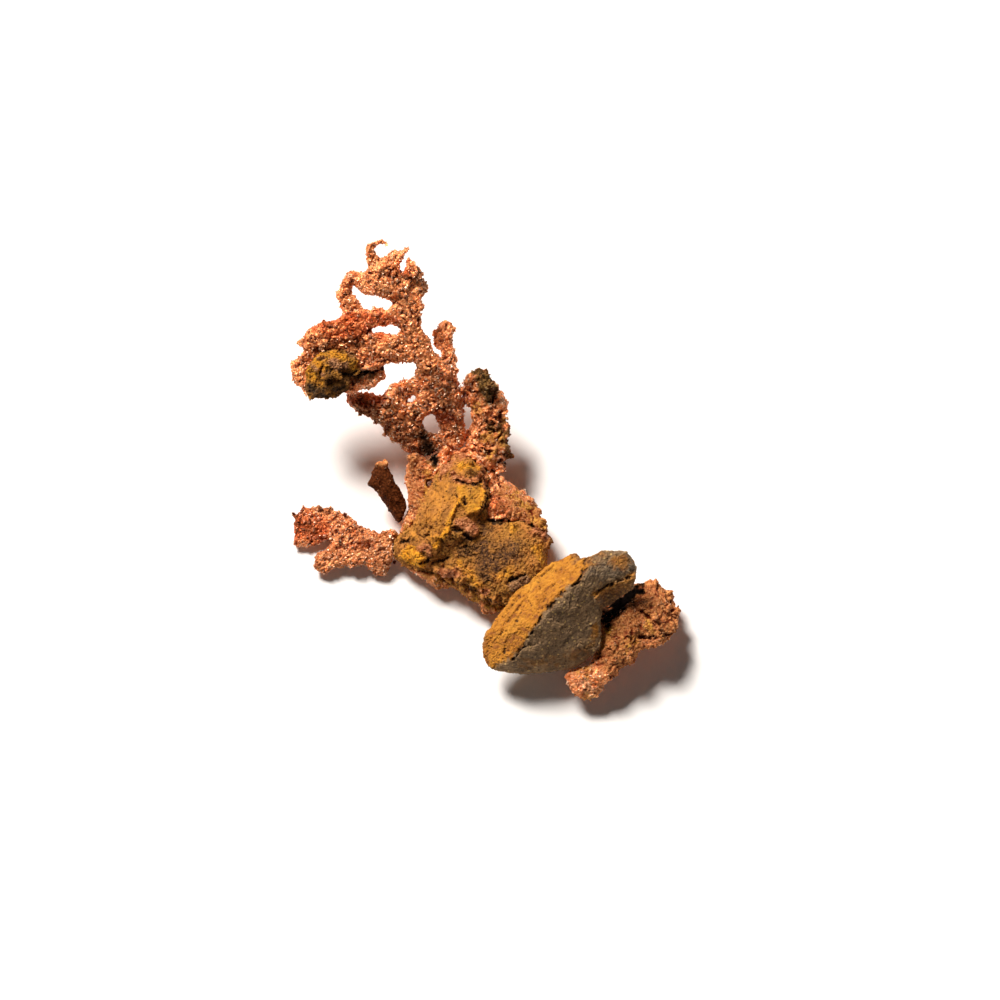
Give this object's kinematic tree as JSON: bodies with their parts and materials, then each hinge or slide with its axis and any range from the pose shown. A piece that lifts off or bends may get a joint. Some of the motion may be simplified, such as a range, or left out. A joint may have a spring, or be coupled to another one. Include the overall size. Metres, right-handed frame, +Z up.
{
  "type": "native copper nugget",
  "caption": "Branching native copper nugget with a fern-like fan, a low mass under ochre crust, a side frond and a wedge of dark rock, lying at rest.",
  "frame": {"origin": "bottom centre of the bounding box, on the surface the nugget rests on", "axes": "+Z up from the resting surface, +Y from the rock wedge end towards the copper fan, +X towards the lobe"},
  "size_m": [0.0388, 0.0434, 0.0172],
  "materials": {
    "native_copper": "satin",
    "ochre": "matte",
    "limonite": "matte",
    "rock": "matte"
  },
  "bodies": {
    "root": {"copper_fan": "native_copper", "copper_side_branch": "native_copper", "copper_blade": "native_copper", "copper_left_frond": "native_copper", "copper_core": "native_copper", "copper_lower_lobe": "native_copper", "ochre_crust": "ochre", "limonite_clump": "limonite", "matrix_rock": "rock"}
  },
  "joints": []
}
